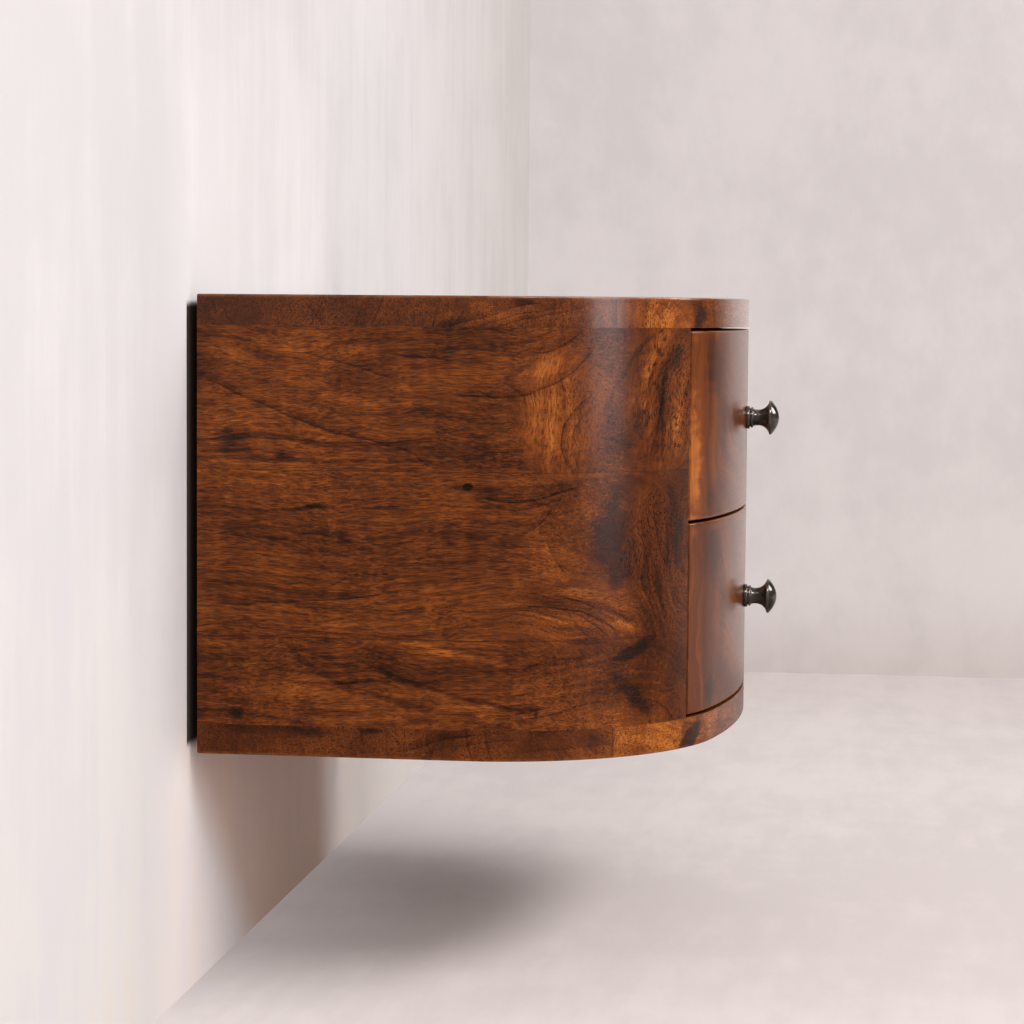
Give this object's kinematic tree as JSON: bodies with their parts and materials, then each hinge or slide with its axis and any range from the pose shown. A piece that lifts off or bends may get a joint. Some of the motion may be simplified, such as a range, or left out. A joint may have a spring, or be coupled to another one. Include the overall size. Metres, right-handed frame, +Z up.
{
  "type": "floating nightstand",
  "caption": "Wall-hung wooden nightstand with rounded front corners, a bowed front and flush drawers on wooden runners, each with a small turned metal knob.",
  "frame": {"origin": "on the wall, in the middle of the wall bar's flat back face", "axes": "+Z up, the wall is the plane Y = 0 and the front faces -Y, +X to the right for someone facing the front"},
  "size_m": [0.5, 0.3716, 0.3],
  "materials": {
    "stained_wood": "dark chestnut stain under semi-gloss lacquer",
    "inner_wood": "plain solid wood, clear sealed, satin",
    "runner_wood": "plain hardwood, waxed",
    "blackened_metal": "turned, blackened, polished on the high spots",
    "zinc_steel": "zinc plated",
    "bar_aluminium": "mill finish, drawn",
    "rubber": "matt"
  },
  "bodies": {
    "case": {"back_panel": "stained_wood", "bottom_board": "stained_wood", "case_bar": "bar_aluminium", "case_bar_screw_1": "zinc_steel", "case_bar_screw_2": "zinc_steel", "case_bar_screw_3": "zinc_steel", "hanging_rail": "inner_wood", "left_bumper": "rubber", "left_front_bottom_dowel": "inner_wood", "left_front_top_dowel": "inner_wood", "left_rear_bottom_dowel": "inner_wood", "left_rear_top_dowel": "inner_wood", "left_runner_panel": "inner_wood", "left_side": "stained_wood", "lower_left_runner": "runner_wood", "lower_left_runner_screw_1": "zinc_steel", "lower_left_runner_screw_2": "zinc_steel", "lower_right_runner": "runner_wood", "lower_right_runner_screw_1": "zinc_steel", "lower_right_runner_screw_2": "zinc_steel", "mid_rail": "inner_wood", "right_bumper": "rubber", "right_front_bottom_dowel": "inner_wood", "right_front_top_dowel": "inner_wood", "right_rear_bottom_dowel": "inner_wood", "right_rear_top_dowel": "inner_wood", "right_runner_panel": "inner_wood", "right_side": "stained_wood", "top_board": "stained_wood", "top_rail": "inner_wood", "upper_left_runner": "runner_wood", "upper_left_runner_screw_1": "zinc_steel", "upper_left_runner_screw_2": "zinc_steel", "upper_right_runner": "runner_wood", "upper_right_runner_screw_1": "zinc_steel", "upper_right_runner_screw_2": "zinc_steel", "wall_bar": "bar_aluminium"},
    "lower_drawer": {"lower_drawer_back": "inner_wood", "lower_drawer_bottom": "inner_wood", "lower_drawer_front": "stained_wood", "lower_drawer_left_side": "inner_wood", "lower_drawer_right_side": "inner_wood", "lower_knob": "blackened_metal", "lower_knob_screw": "zinc_steel", "lower_turn_button_screw": "zinc_steel"},
    "upper_drawer": {"upper_drawer_back": "inner_wood", "upper_drawer_bottom": "inner_wood", "upper_drawer_front": "stained_wood", "upper_drawer_left_side": "inner_wood", "upper_drawer_right_side": "inner_wood", "upper_knob": "blackened_metal", "upper_knob_screw": "zinc_steel", "upper_turn_button_screw": "zinc_steel"},
    "lower_turn_button": {"lower_turn_button": "runner_wood"},
    "upper_turn_button": {"upper_turn_button": "runner_wood"}
  },
  "joints": [
    {"name": "lower_drawer_slide", "type": "slide", "parent": "case", "child": "lower_drawer", "axis": [0, -1, 0], "range_m": [0, 0.19]},
    {"name": "upper_drawer_slide", "type": "slide", "parent": "case", "child": "upper_drawer", "axis": [0, -1, 0], "range_m": [0, 0.19]},
    {"name": "lower_button_turn", "type": "hinge", "parent": "lower_drawer", "child": "lower_turn_button", "pos_m": [0, -0.0422, -0.0882], "axis": [0, 1, 0], "continuous": true},
    {"name": "upper_button_turn", "type": "hinge", "parent": "upper_drawer", "child": "upper_turn_button", "pos_m": [0, -0.0422, 0.0418], "axis": [0, 1, 0], "continuous": true}
  ]
}
